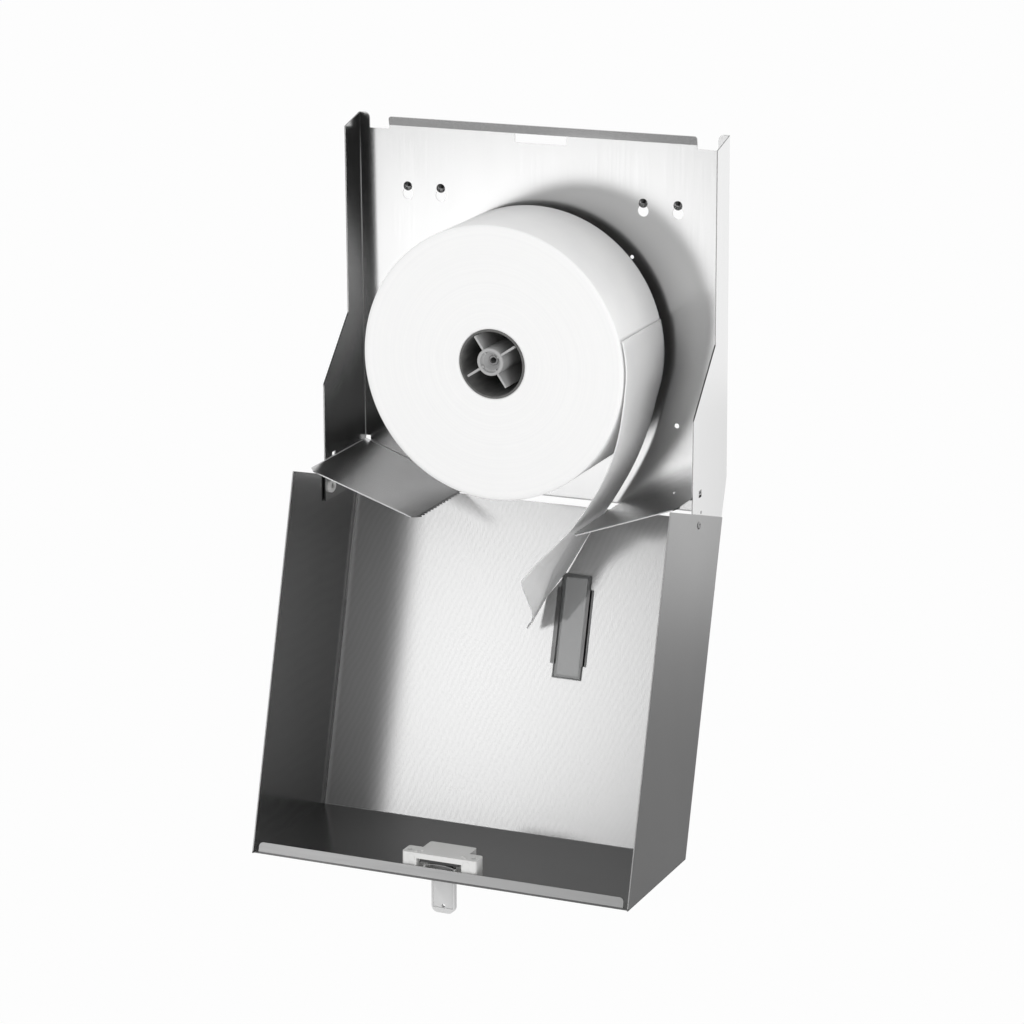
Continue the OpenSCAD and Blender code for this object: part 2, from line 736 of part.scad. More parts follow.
module paper_roll() {
    color(paper) from_top() translate([roll_x, 0, roll_z]) difference() {
        along_y(roll_back, roll_front, roll_dia, $fn = 128);
        along_y(roll_back - cut, roll_front + cut, core_dia);
    }
}

module roll_core() {
    color(card) from_top() translate([roll_x, 0, roll_z]) difference() {
        along_y(roll_back, roll_front, core_dia);
        along_y(roll_back - cut, roll_front + cut, core_dia - 2 * core_t);
    }
}

// Side outline of the closed cover, as depth and height, grown inwards by the sheet
module cover_outline(inset) {
    rear = wall_gap - (inset > 0 ? cut : 0);
    front = cover_d - inset;
    top = top_in_z + (cover_t - inset) / cos(top_fall);
    fall = tan(top_fall);
    polygon([
        [rear, cover_low - (inset > 0 ? cut : 0)], [rear, top - (rear - cover_lip_y) * fall],
        [front, top - (front - cover_lip_y) * fall], [front, cover_low - (inset > 0 ? cut : 0)]
    ]);
}

module cover_solid(inset) {
    intersection() {
        along_x(-cover_out_x + inset, 2 * (cover_out_x - inset)) cover_outline(inset);
        translate([0, panel_out_y + inset, cover_low - cut]) mirror([0, 1, 0])
            linear_extrude(-cover_low + 2 * cut + cover_over)
                channel_plan(2 * (cover_out_x - inset), cover_d + cut, corner_r - inset);
    }
}

module cover_lip() {
    translate([0, -cover_lip_y, 0]) rotate([90, 0, 0]) linear_extrude(cover_t)
        translate([0, top_in_z - cover_lip_h]) {
            soft_rect(2 * lip_end_x, cover_lip_h, cover_lip_corner_r);
            translate([-lip_end_x, cover_lip_corner_r])
                square([2 * lip_end_x, cover_lip_h + cover_t / 2 - cover_lip_corner_r]);
        }
}

module cover_shell() {
    color(steel) {
        on_cover() {
            difference() {
                cover_solid(0);
                cover_solid(cover_t);
                translate([-cover_in_x, panel_out_y - cut, cover_low - cut])
                    cube([2 * cover_in_x, corner_r + cut, panel_low - cover_low + cut]);
                translate([-cover_in_x, -cover_lip_y, top_in_z - cover_lip_h])
                    cube([2 * cover_in_x, cover_lip_y + cut, cover_lip_h + cover_over + cut]);
                translate([window_x - window_w / 2 + window_rim, panel_out_y - cut, window_low + window_rim])
                    cube([window_w - 2 * window_rim, cover_t + 2 * cut, window_h - 2 * window_rim]);
                both_sides() translate([cover_in_x - cut, -hinge_d, hinge_z]) rotate([0, 90, 0])
                    cylinder(d = pin_dia, h = cover_t + 2 * cut);
                translate([0, -cover_lip_y, top_in_z]) rotate([top_fall, 0, 0])
                    translate([-key_w / 2 - slide_gap, -key_front - key_t - slide_gap, -cut])
                        cube([key_w + 2 * slide_gap, key_t + 2 * slide_gap, 2 * cut]);
            }
            cover_lip();
        }
    }
}

// A hinge pin: a shank held in the cover's wall and running in the bush, with a low head outside
module hinge_pin() {
    on_cover() translate([0, -hinge_d, hinge_z]) rotate([0, 90, 0]) {
        translate([0, 0, flange_in - bush_t + pin_in])
            cylinder(d = pin_dia, h = cover_out_x - flange_in + bush_t - pin_in);
        translate([0, 0, cover_out_x]) cylinder(d = pin_head_dia, h = pin_head_t);
    }
}

module hinge_pin_right() { color(steel) hinge_pin(); }

module hinge_pin_left() { color(steel) mirror([1, 0, 0]) hinge_pin(); }

module window_insert() {
    color(clear_tint) on_cover() translate([window_x - window_w / 2, panel_in_y, window_low]) difference() {
        cube([window_w, window_t, window_h]);
        translate([window_wall, window_wall, window_wall])
            cube([window_w - 2 * window_wall, window_t, window_h - 2 * window_wall]);
    }
}

// A rail folded over one long edge of the insert; turned = true gives the rail of the other edge
module window_rail(turned) {
    mid = window_low + window_h / 2;
    on_cover() translate([window_x, panel_in_y, mid - rail_len / 2]) mirror([turned ? 1 : 0, 0, 0])
        translate([window_w / 2 + rail_side_gap, 0, 0]) {
            cube([rail_foot_w, rail_t, rail_len]);
            cube([rail_t, window_t + rest_gap + rail_t, rail_len]);
            translate([-rail_lap, window_t + rest_gap, 0]) cube([rail_lap + rail_t, rail_t, rail_len]);
        }
}

module window_rail_right() { color(steel_dark) window_rail(false); }

module window_rail_left() { color(steel_dark) window_rail(true); }

// A box in the top wall's frame: x from the middle, y forwards from the lip, z from the wall upwards
module wall_box(width, y0, y1, h0, h1) {
    translate([-width / 2, -y1, -h1]) cube([width, y1 - y0, h1 - h0]);
}

module lock_plan() {
    mirror([0, 1, 0]) translate([0, lock_back]) {
        soft_rect(lock_w, ear_d, lock_corner_r);
        soft_rect(block_w, lock_d, lock_corner_r);
    }
}

module lock_housing() {
    color(plastic_white) on_top_wall() {
        difference() {
            union() {
                translate([0, 0, -lock_h]) linear_extrude(lock_h) lock_plan();
                for (p = boss_places)
                    translate([p[0], -p[1], -lock_h - boss_h]) cylinder(d = boss_dia, h = boss_h);
                both_sides() translate([front_boss_x, -lock_back + front_boss_t, -front_boss_h])
                    along_y(0, front_boss_t, front_boss_dia);
            }
            wall_box(cavity_w, lock_back - cut, key_front - slide_gap, cavity_low, cavity_top);
            wall_box(key_w + 2 * slide_gap, key_front - slide_gap - channel_lap,
                key_front + key_t + slide_gap,
                     -cut, key_in + slide_gap);
            both_sides() translate([lock_screw_x, -lock_back - ear_hole_back, 0]) {
                translate([0, 0, -lock_h - cut])
                    cylinder(d = lock_screw_dia + 2 * screw_fit, h = lock_h + 2 * cut);
                translate([0, 0, -lock_h - cut])
                    cylinder(d = ear_hole_dia + 2 * screw_fit, h = lock_h + cut - lock_screw_head_h);
            }
        }
        both_sides() translate([rib_x, 0, 0])
            wall_box(rib_w, lock_back + latch_back,
                key_front - slide_gap - channel_lap, cavity_low, rib_top());
    }
}

function rib_top() = latch_low - rest_gap - leaf_t - leaf_rise;

module lock_screws() {
    color(steel) on_top_wall() both_sides() translate([lock_screw_x, -lock_back - ear_hole_back, 0]) {
        translate([0, 0, -lock_screw_head_h]) cylinder(d = lock_screw_dia, h = lock_screw_head_h);
        translate([0, 0, -lock_screw_head_h - lock_screw_head_t])
            cylinder(d = ear_hole_dia, h = lock_screw_head_t);
    }
}

// The leaf spring: a shallow arch that stands on the two ribs, its crown under the latch
module lock_spring() {
    span = 2 * rib_x - rib_w;
    r = (span * span / 4 + leaf_rise * leaf_rise) / (2 * leaf_rise);
    color(steel) on_top_wall()
        translate([0, -lock_back - latch_back - leaf_d, -rib_top() - leaf_rise - leaf_t + r])
        rotate([-90, 0, 0]) linear_extrude(leaf_d) intersection() {
            difference() {
                circle(r, $fn = 128);
                circle(r - leaf_t, $fn = 128);
            }
            translate([-rib_x - rib_w / 2, r - leaf_rise - leaf_t])
                square([2 * rib_x + rib_w, leaf_rise + leaf_t + cut]);
        }
}

module latch() {
    color(plastic_grey) on_top_wall() difference() {
        wall_box(latch_w, lock_back + latch_back, lock_back + latch_back + latch_d, latch_low, latch_top);
        wall_box(latch_notch_w, lock_back + latch_back + latch_d - latch_notch_d,
                 lock_back + latch_back + latch_d + cut, latch_low - cut, latch_low + latch_notch_t);
    }
}

// The key: a flat bar with a dished grip and a hole for a cord
module key() {
    hole_y = key_front + key_t / 2;
    color(plastic_white) on_top_wall() difference() {
        translate([0, -key_front, 0]) rotate([90, 0, 0]) linear_extrude(key_t) translate([0, -key_in])
            soft_rect(key_w, key_in + key_out, key_edge_r);
        both_sides() translate([key_w / 2, -hole_y, key_out]) difference() {
            translate([-key_corner_r, -key_t, -key_corner_r])
                cube([2 * key_corner_r, 2 * key_t, 2 * key_corner_r]);
            translate([-key_corner_r, key_t, -key_corner_r]) rotate([90, 0, 0])
                cylinder(r = key_corner_r, h = 2 * key_t);
        }
        translate([0, -hole_y + key_t, key_out - key_hole_up]) rotate([90, 0, 0])
            cylinder(d = key_hole_dia, h = 2 * key_t);
        for (y = [-key_front - key_dish, -key_front - key_t])
            translate([-key_w / 2 + key_rim, y, key_neck])
                cube([key_w - 2 * key_rim, key_dish, key_out - key_neck - key_dish_end]);
    }
}

back_plate();
tear_plate_left();
tear_plate_right();
tear_plate_rivets();
spindle_hub();
spindle_tube();
spindle_screws();
hinge_bush_left();
hinge_bush_right();
wall_screws();
paper_lead();
paper_tail();
paper_roll();
roll_core();
cover_shell();
hinge_pin_left();
hinge_pin_right();
window_insert();
window_rail_left();
window_rail_right();
lock_housing();
lock_screws();
lock_spring();
latch();
key();
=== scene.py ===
# %% [markdown]
# A jumbo toilet roll dispenser, open for refilling. The real one is folded from brushed stainless sheet,
# with a few plastic parts and a soft paper end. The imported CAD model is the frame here: its sheet parts are
# already right, so they stay and get a better finish, and the soft or rounded parts are modelled again on
# top of it.

# %% The frame
import math
import random

import bmesh
import bpy
from mathutils import Euler, Matrix, Vector


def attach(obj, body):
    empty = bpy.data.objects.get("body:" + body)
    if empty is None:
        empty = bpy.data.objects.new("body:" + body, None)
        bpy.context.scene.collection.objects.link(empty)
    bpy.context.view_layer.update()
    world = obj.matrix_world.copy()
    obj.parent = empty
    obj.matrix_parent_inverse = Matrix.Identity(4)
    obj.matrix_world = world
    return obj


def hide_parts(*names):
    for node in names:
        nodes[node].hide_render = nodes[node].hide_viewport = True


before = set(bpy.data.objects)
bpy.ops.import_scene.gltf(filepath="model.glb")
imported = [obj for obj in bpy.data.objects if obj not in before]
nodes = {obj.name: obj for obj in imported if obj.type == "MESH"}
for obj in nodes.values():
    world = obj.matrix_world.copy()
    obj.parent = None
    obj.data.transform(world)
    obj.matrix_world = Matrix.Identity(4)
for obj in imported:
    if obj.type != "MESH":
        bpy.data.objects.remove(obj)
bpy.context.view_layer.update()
print("frame:", len(nodes), "nodes")

# %% [markdown]
# The camera stands in front of the dispenser, to its right and a little above it, far away with a long
# lens. Its place and turn were solved from the corners of the folded sheets, so the picture can be laid
# over the photograph.

# %% The camera
CAMERA_PLACE = (1.17165, -2.77377, 0.57132)
CAMERA_TURN = (74.1416, 0.3934, 23.3052)
LENS = 124.235
SENSOR = 36
camera_data = bpy.data.cameras.new("camera")
camera_data.sensor_width = SENSOR
camera_data.lens = LENS
camera = bpy.data.objects.new("camera", camera_data)
camera.location = CAMERA_PLACE
camera.rotation_euler = Euler([math.radians(a) for a in CAMERA_TURN])
bpy.context.collection.objects.link(camera)
bpy.context.scene.camera = camera
bpy.context.scene.view_settings.view_transform = "Standard"
print("camera:", LENS, "mm lens")

# %% [markdown]
# The sheets are drawn in millimetres below the plate's top edge, as a fitter would measure them. One helper
# turns such a point into the model's metres. The cover is drawn closed and swung open about its pins.

# %% Millimetres below the top edge
TOP_EDGE = 63.3
HINGE_Y = -74.5
HINGE_Z = -321.2
OPEN_ANGLE = 163.4
FALL = 15.3
COVER_LIP_Y = -3.4
COVER_TOP = 1.0
to_metres = Matrix.Scale(0.001, 4) @ Matrix.Translation((0, 0, TOP_EDGE))
hinge_line = Matrix.Translation((0, HINGE_Y, HINGE_Z))
swing = hinge_line @ Matrix.Rotation(math.radians(OPEN_ANGLE), 4, "X") @ hinge_line.inverted()
on_cover = to_metres @ swing
print("cover swung open by", OPEN_ANGLE, "degrees")

# %% [markdown]
# A metal or paper finish is a small net of nodes. These helpers keep each finish short: one adds a node and
# sets its sockets, one gives a noise stretched along chosen axes, and others turn it into a range of
# numbers, into tones of grey, or into small bumps. A noise seldom comes near 0 or 1, so only its middle
# band is used.

# %% Helpers for finishes
def add(tree, kind, **values):
    node = tree.nodes.new(kind)
    for name, value in values.items():
        if name in node.inputs:
            node.inputs[name].default_value = value
        else:
            setattr(node, name, value)
    return node


def new_finish(name, roughness, metallic=0.0):
    material = bpy.data.materials.new(name)
    material.use_nodes = True
    tree = material.node_tree
    shader = tree.nodes["Principled BSDF"]
    shader.inputs["Roughness"].default_value = roughness
    shader.inputs["Metallic"].default_value = metallic
    return material, tree, shader


def describe(material):
    print(material.name, "is a net of", len(material.node_tree.nodes), "nodes")


# %% Noise, tones and bumps
NOISE_LOW = 0.3
NOISE_HIGH = 0.7


def stretched_noise(tree, stretch, detail=3.0):
    place = add(tree, "ShaderNodeTexCoord")
    sized = add(tree, "ShaderNodeMapping", Scale=stretch)
    noise = add(tree, "ShaderNodeTexNoise", Scale=1.0, Detail=detail)
    tree.links.new(place.outputs["Object"], sized.inputs["Vector"])
    tree.links.new(sized.outputs["Vector"], noise.inputs["Vector"])
    return noise.outputs["Fac"]


def in_range(tree, value, low, high):
    ranged = tree.nodes.new("ShaderNodeMapRange")
    ends = {"From Min": NOISE_LOW, "From Max": NOISE_HIGH, "To Min": low, "To Max": high}
    for name, end in ends.items():
        ranged.inputs[name].default_value = end
    tree.links.new(value, ranged.inputs["Value"])
    return ranged.outputs["Result"]


def colour_of(tone):
    return (tone, tone, tone, 1) if isinstance(tone, float) else (*tone, 1)


def tones_of(tree, value, dark, light):
    tones = tree.nodes.new("ShaderNodeValToRGB")
    for stop, at, tone in zip(tones.color_ramp.elements, (NOISE_LOW, NOISE_HIGH), (dark, light)):
        stop.position = at
        stop.color = colour_of(tone)
    tree.links.new(value, tones.inputs["Fac"])
    return tones.outputs["Color"]


def two_tones(tree, shader, value, dark, light):
    tree.links.new(tones_of(tree, value, dark, light), shader.inputs["Base Color"])


def bumps(tree, shader, value, height, strength, under=None):
    bump = add(tree, "ShaderNodeBump", Strength=strength, Distance=height)
    tree.links.new(value, bump.inputs["Height"])
    if under is not None:
        tree.links.new(under, bump.inputs["Normal"])
    tree.links.new(bump.outputs["Normal"], shader.inputs["Normal"])
    return bump.outputs["Normal"]


# %% [markdown]
# Brushed stainless sheet shows fine upright scratches and a soft cloudiness. Drawn scratches would be too
# coarse, so they are a noise stretched along Z that changes how rough the metal is. A second, soft noise
# clouds its tone.

# %% Steel finishes
SHEET_CLOUD = (9, 9, 5)


def brushed(name, dark, light, rough, stretch=(900, 900, 14), spread=0.03):
    material, tree, shader = new_finish(name, rough, 1.0)
    cloud = stretched_noise(tree, SHEET_CLOUD, 2.0)
    grain = stretched_noise(tree, stretch)
    tree.links.new(tones_of(tree, cloud, dark, light), shader.inputs["Base Color"])
    tree.links.new(in_range(tree, grain, rough - spread, rough + spread), shader.inputs["Roughness"])
    describe(material)
    return material


TEAR_TONES = (0.58, 0.62)
tear_steel = brushed("tear_steel", *TEAR_TONES, 0.24, (14, 700, 14), 0.006)
screw_steel = brushed("screw_steel", 0.30, 0.42, 0.25, (400, 400, 400))
tube_steel = brushed("tube_steel", 0.86, 0.92, 0.5, (300, 300, 60))
bright_steel = brushed("bright_steel", 0.70, 0.82, 0.2, (300, 300, 60))
dark_screw = brushed("dark_screw", 0.03, 0.06, 0.35, (400, 400, 400))
rail_steel = brushed("rail_steel", 0.16, 0.24, 0.3, (500, 500, 30))

# %% [markdown]
# The folded sheets have two sides. The faces turned to the room are ground to a satin grey, and the inner
# faces are left as rolled, with slanting ripples. Which side a point is on follows from its place: the
# shader turns the point back to the closed cover and asks whether it lies beyond one of its outer planes.

# %% Helpers for two-sided sheets
def point_parts(tree):
    place = add(tree, "ShaderNodeTexCoord")
    parts = add(tree, "ShaderNodeSeparateXYZ")
    tree.links.new(place.outputs["Object"], parts.inputs["Vector"])
    return parts


def beyond(tree, value, limit, sign=1):
    test = add(tree, "ShaderNodeMath", operation="GREATER_THAN" if sign > 0 else "LESS_THAN")
    test.inputs[1].default_value = limit
    tree.links.new(value, test.inputs[0])
    return test.outputs["Value"]


def combined(tree, first, second, operation):
    result = add(tree, "ShaderNodeMath", operation=operation)
    tree.links.new(first, result.inputs[0])
    tree.links.new(second, result.inputs[1])
    return result.outputs["Value"]


def either(tree, first, second):
    return combined(tree, first, second, "MAXIMUM")


def both(tree, first, second):
    return combined(tree, first, second, "MULTIPLY")


def far_aside(tree, parts, limit):
    aside = add(tree, "ShaderNodeMath", operation="ABSOLUTE")
    tree.links.new(parts.outputs["X"], aside.inputs[0])
    return beyond(tree, aside.outputs["Value"], limit)


# A Mix node lists its sockets for numbers before those for colours: two inputs and the result of each
NUMBER_PORTS = (2, 3, 0)
COLOUR_PORTS = (6, 7, 2)


def blended(tree, share, first, second, kind="RGBA"):
    mixer = add(tree, "ShaderNodeMix", data_type=kind)
    ports = COLOUR_PORTS if kind == "RGBA" else NUMBER_PORTS
    for value, port in zip((first, second), ports):
        if isinstance(value, float):
            mixer.inputs[port].default_value = value
        else:
            tree.links.new(value, mixer.inputs[port])
    tree.links.new(share, mixer.inputs[0])
    return mixer.outputs[ports[2]]


# %% [markdown]
# The back plate has three tones: the smooth inner side, a lighter outer side of its flanges, which is painted
# light, and darker cut edges of the sheet, which are painted shade. How far a point is from the middle tells
# them apart, so the mesh needs no seams.

# %% The plate's steel
FLANGE_OUTSIDE = 0.1729
FLANGE_EDGE = 0.1720
PLATE_TONES = (0.565, 0.60)
# The flanges' outer side gets a lighter tone as painted light, and the cut edges a darker one as painted
# shade
FLANGE_PAINTED_LIGHT_TONES = (0.84, 0.87)
EDGE_PAINTED_SHADE_TONES = (0.22, 0.26)
plate_steel, tree, shader = new_finish("plate_steel", 0.2, 1.0)
parts = point_parts(tree)
cloud = stretched_noise(tree, SHEET_CLOUD, 2.0)
grain = stretched_noise(tree, (900, 900, 14))
inner_tone = tones_of(tree, cloud, *PLATE_TONES)
flange_painted_light = tones_of(tree, cloud, *FLANGE_PAINTED_LIGHT_TONES)
edge_painted_shade = tones_of(tree, cloud, *EDGE_PAINTED_SHADE_TONES)
# Painted shade on the cut edges, then painted light on the flanges' outer side
with_painted_edge_shade = blended(tree, far_aside(tree, parts, FLANGE_EDGE), inner_tone, edge_painted_shade)
plate_tone = blended(tree, far_aside(tree, parts, FLANGE_OUTSIDE), with_painted_edge_shade, flange_painted_light)
tree.links.new(plate_tone, shader.inputs["Base Color"])
tree.links.new(in_range(tree, grain, 0.185, 0.205), shader.inputs["Roughness"])
describe(plate_steel)

# %% [markdown]
# The cover is modelled open, but its walls are easier to name on the closed one. So two Mapping nodes take
# each point back: one turns it about the hinge, and the other goes on to make the slanting wall level.

# %% Where a point lies on the closed cover
def on_closed_cover(tree):
    closing = Matrix.Rotation(math.radians(-OPEN_ANGLE), 3, "X")
    hinge = Vector((0, HINGE_Y, HINGE_Z + TOP_EDGE)) / 1000
    falling = Matrix.Rotation(math.radians(-FALL), 3, "X")
    fold = Vector((0, COVER_LIP_Y - HINGE_Y, COVER_TOP - HINGE_Z)) / 1000
    place = add(tree, "ShaderNodeTexCoord")
    closed = add(tree, "ShaderNodeMapping", Location=-(closing @ hinge),
                 Rotation=(math.radians(-OPEN_ANGLE), 0, 0))
    level = add(tree, "ShaderNodeMapping", Location=-(falling @ fold),
                Rotation=(math.radians(-FALL), 0, 0))
    from_hinge = add(tree, "ShaderNodeSeparateXYZ")
    from_fold = add(tree, "ShaderNodeSeparateXYZ")
    tree.links.new(place.outputs["Object"], closed.inputs["Vector"])
    tree.links.new(closed.outputs["Vector"], level.inputs["Vector"])
    tree.links.new(closed.outputs["Vector"], from_hinge.inputs["Vector"])
    tree.links.new(level.outputs["Vector"], from_fold.inputs["Vector"])
    return from_hinge, from_fold


# %% [markdown]
# The cover is the same sheet. Its panel is the smooth side with the ripples: a wave texture bent by a
# noise, because rolled sheet never has them quite straight. Its walls and lips are satin on the outside. The
# insides of the walls and the lips get darker tones, which are painted shade, and the fold of the lip at the
# slanting wall gets the darkest painted shade, as the CAD fold is square.

# %% The sides of the cover
WALL_OUTSIDE = 0.1743
PANEL_OUTSIDE = -0.0624
PANEL_INSIDE = -0.0606
LIP_OUTSIDE = 0.0706
TOP_OUTSIDE = 0.0005
TOP_FOLD = -0.0007
cover_steel, tree, shader = new_finish("cover_steel", 0.2, 1.0)
from_hinge, from_fold = on_closed_cover(tree)
walls = either(tree, far_aside(tree, from_hinge, WALL_OUTSIDE),
               beyond(tree, from_hinge.outputs["Y"], PANEL_OUTSIDE, -1))
lips = either(tree, beyond(tree, from_hinge.outputs["Y"], LIP_OUTSIDE),
              beyond(tree, from_fold.outputs["Z"], TOP_OUTSIDE))
panel = beyond(tree, from_hinge.outputs["Y"], PANEL_INSIDE, -1)
# A band along the lip's square fold, where a line of painted shade goes
fold_shade_mask = beyond(tree, from_fold.outputs["Z"], TOP_FOLD)
outside = either(tree, walls, lips)
print("planes of the cover:", WALL_OUTSIDE, PANEL_OUTSIDE, LIP_OUTSIDE, TOP_OUTSIDE)

# %% Clouds, grain and ripples of the cover
cloud = stretched_noise(tree, (7, 7, 4), 2.0)
grain = stretched_noise(tree, (14, 900, 900), 2.0)
RIPPLE_SLANT = math.radians(24)
place = add(tree, "ShaderNodeTexCoord")
slanted = add(tree, "ShaderNodeMapping", Rotation=(0, -RIPPLE_SLANT, 0))
ripple = add(tree, "ShaderNodeTexWave", Scale=62.0, Distortion=5.0, Detail=2.0)
ripple.inputs["Detail Scale"].default_value = 0.6
tree.links.new(place.outputs["Object"], slanted.inputs["Vector"])
tree.links.new(slanted.outputs["Vector"], ripple.inputs["Vector"])
print("ripples slant by", round(math.degrees(RIPPLE_SLANT)), "degrees")

# %% The cover's steel
PANEL_TONES = (0.585, 0.61)
# The hollow, lip and fold tones are darker copies of the same steel: painted shade
HOLLOW_PAINTED_SHADE_TONES = (0.42, 0.46)
WALL_TONES = (0.50, 0.56)
LIP_PAINTED_SHADE_TONES = (0.46, 0.50)
FOLD_PAINTED_SHADE_TONES = (0.16, 0.20)
panel_tone = tones_of(tree, ripple.outputs["Fac"], *PANEL_TONES)
hollow_painted_shade = tones_of(tree, cloud, *HOLLOW_PAINTED_SHADE_TONES)
inner_tone = blended(tree, panel, hollow_painted_shade, panel_tone)
wall_tone = tones_of(tree, cloud, *WALL_TONES)
# The lips are painted shade, and the band along their fold is a darker painted shade
lip_painted_shade = blended(tree, fold_shade_mask, tones_of(tree, cloud, *LIP_PAINTED_SHADE_TONES), tones_of(tree, cloud, *FOLD_PAINTED_SHADE_TONES))
sides = blended(tree, walls, inner_tone, wall_tone)
tree.links.new(blended(tree, lips, sides, lip_painted_shade), shader.inputs["Base Color"])
smooth_side = in_range(tree, ripple.outputs["Fac"], 0.195, 0.22)
satin_side = in_range(tree, grain, 0.33, 0.38)
tree.links.new(blended(tree, outside, smooth_side, satin_side, "FLOAT"), shader.inputs["Roughness"])
tree.links.new(blended(tree, panel, 1.0, 0.62, "FLOAT"), shader.inputs["Metallic"])
describe(cover_steel)

# %% [markdown]
# The tear plates are punched and bent from thinner sheet. Their bend and their back edge are rounded, and
# the highlight they catch is painted: a narrow line there has a lighter tone and is less metallic. Towards
# the teeth the plates are darker.

# %% The tear plates' edges
BEND_LINE = -0.1706
BACK_LINE = -0.0032
TEETH_LINE = 0.0743
TEETH_TONES = (0.36, 0.40)
# A lighter tone for the painted highlight along the bend and the back edge
PAINTED_HIGHLIGHT_TONES = (0.72, 0.78)
tree = tear_steel.node_tree
shader = tree.nodes["Principled BSDF"]
parts = point_parts(tree)
left_side = beyond(tree, parts.outputs["X"], 0, -1)
# Bands along the back edge and the bend, where the highlight is painted
back_highlight_band = both(tree, beyond(tree, parts.outputs["Y"], BACK_LINE), left_side)
edges = either(tree, beyond(tree, parts.outputs["X"], BEND_LINE, -1), back_highlight_band)
cloud = stretched_noise(tree, SHEET_CLOUD, 2.0)
teeth_tone = tones_of(tree, cloud, *TEETH_TONES)
flat_tone = blended(tree, far_aside(tree, parts, TEETH_LINE), teeth_tone, tones_of(tree, cloud, *TEAR_TONES))
steel_tone = blended(tree, edges, flat_tone, tones_of(tree, cloud, *PAINTED_HIGHLIGHT_TONES))
tree.links.new(steel_tone, shader.inputs["Base Color"])
tree.links.new(blended(tree, edges, 1.0, 0.25, "FLOAT"), shader.inputs["Metallic"])
describe(tear_steel)

# %% [markdown]
# The sheets and fasteners of the CAD model keep their own meshes, with all their holes and folds. Only the
# material in each of their slots is changed.

# %% Finishes put on the CAD sheets
def dress(finish, *names):
    for name in names:
        for place in nodes[name].material_slots:
            place.material = finish
    print(finish.name, "on", *names)


dress(plate_steel, "back_plate")
dress(tear_steel, "tear_plate_left", "tear_plate_right")
dress(cover_steel, "cover_shell")
dress(screw_steel, "wall_screws", "spindle_screws", "tear_plate_rivets")
dress(dark_screw, "lock_screws")
dress(rail_steel, "window_rail_left", "window_rail_right")
dress(bright_steel, "lock_spring")

# %% [markdown]
# Tissue is matt, with a fine crepe across it. Where it hangs loose it is thin enough to let light through,
# so that stretch gets a copy of the finish with light scattering inside it. The wound face shows the edges
# of hundreds of layers as faint rings: a noise that reads only the distance from the roll's centre draws
# them.

# %% Tissue
tissue, tree, shader = new_finish("tissue", 0.95)
crepe = stretched_noise(tree, (1400, 260, 1400), 4.0)
soft_cloud = stretched_noise(tree, (30, 30, 30))
two_tones(tree, shader, soft_cloud, (0.86, 0.86, 0.86), (0.90, 0.90, 0.895))
bumps(tree, shader, crepe, 0.0002, 0.5)
shader.inputs["Sheen Weight"].default_value = 0.1

THIN = 0.003
thin_tissue = tissue.copy()
thin_tissue.name = "thin_tissue"
shader = thin_tissue.node_tree.nodes["Principled BSDF"]
shader.inputs["Subsurface Weight"].default_value = 0.7
shader.inputs["Subsurface Radius"].default_value = (1, 1, 1)
shader.inputs["Subsurface Scale"].default_value = THIN
describe(thin_tissue)

# %% The wound face of the roll
ROLL_X = -0.549
ROLL_Z = -188.924
roll_middle = Vector((ROLL_X, 0, ROLL_Z + TOP_EDGE)) / 1000
wound_face, tree, shader = new_finish("wound_face", 0.95)
place = add(tree, "ShaderNodeTexCoord")
centred = add(tree, "ShaderNodeMapping", Location=-roll_middle, Scale=(1, 0, 1))
radius = add(tree, "ShaderNodeVectorMath", operation="LENGTH")
outwards = add(tree, "ShaderNodeCombineXYZ")
rings = add(tree, "ShaderNodeTexNoise", Scale=420.0, Detail=4.0)
tree.links.new(place.outputs["Object"], centred.inputs["Vector"])
tree.links.new(centred.outputs["Vector"], radius.inputs[0])
tree.links.new(radius.outputs["Value"], outwards.inputs["X"])
tree.links.new(outwards.outputs["Vector"], rings.inputs["Vector"])
fluff = stretched_noise(tree, (500, 500, 500), 4.0)
two_tones(tree, shader, rings.outputs["Fac"], (0.87, 0.87, 0.87), (0.90, 0.90, 0.895))
ringed = bumps(tree, shader, rings.outputs["Fac"], 0.0002, 0.25)
bumps(tree, shader, fluff, 0.0002, 0.25, ringed)
describe(wound_face)

# %% The core's card
card, tree, shader = new_finish("card", 0.9)
fibres = stretched_noise(tree, (300, 60, 300), 5.0)
# The card's tone is very dark: partly the card's own grey, partly painted shade for the inside of the core
two_tones(tree, shader, fibres, (0.11, 0.11, 0.11), (0.15, 0.15, 0.145))
bumps(tree, shader, fibres, 0.0003, 0.4)
describe(card)

# %% [markdown]
# The plastics are moulded: nearly even in colour, with a faint orange-peel skin that breaks up highlights.
# The insert is clear and smoky, so it lets light through and still shows its edges.

# %% Plastic finishes
SKIN = (600, 600, 600)


def moulded(name, colour, rough):
    material, tree, shader = new_finish(name, rough)
    peel = stretched_noise(tree, SKIN, 2.0)
    shade = stretched_noise(tree, (40, 40, 40), 2.0)
    two_tones(tree, shader, shade, tuple(c * 0.95 for c in colour), colour)
    tree.links.new(in_range(tree, peel, rough - 0.04, rough + 0.05), shader.inputs["Roughness"])
    bumps(tree, shader, peel, 0.00005, 0.3)
    describe(material)
    return material


grey_plastic = moulded("grey_plastic", (0.42, 0.42, 0.42), 0.38)
white_plastic = moulded("white_plastic", (0.72, 0.72, 0.71), 0.4)
key_plastic = moulded("key_plastic", (0.62, 0.62, 0.62), 0.42)
# The latch is near black: painted shade for the dark inside of the lock's opening, where it sits
latch_painted_shade = moulded("latch_painted_shade", (0.05, 0.05, 0.05), 0.4)

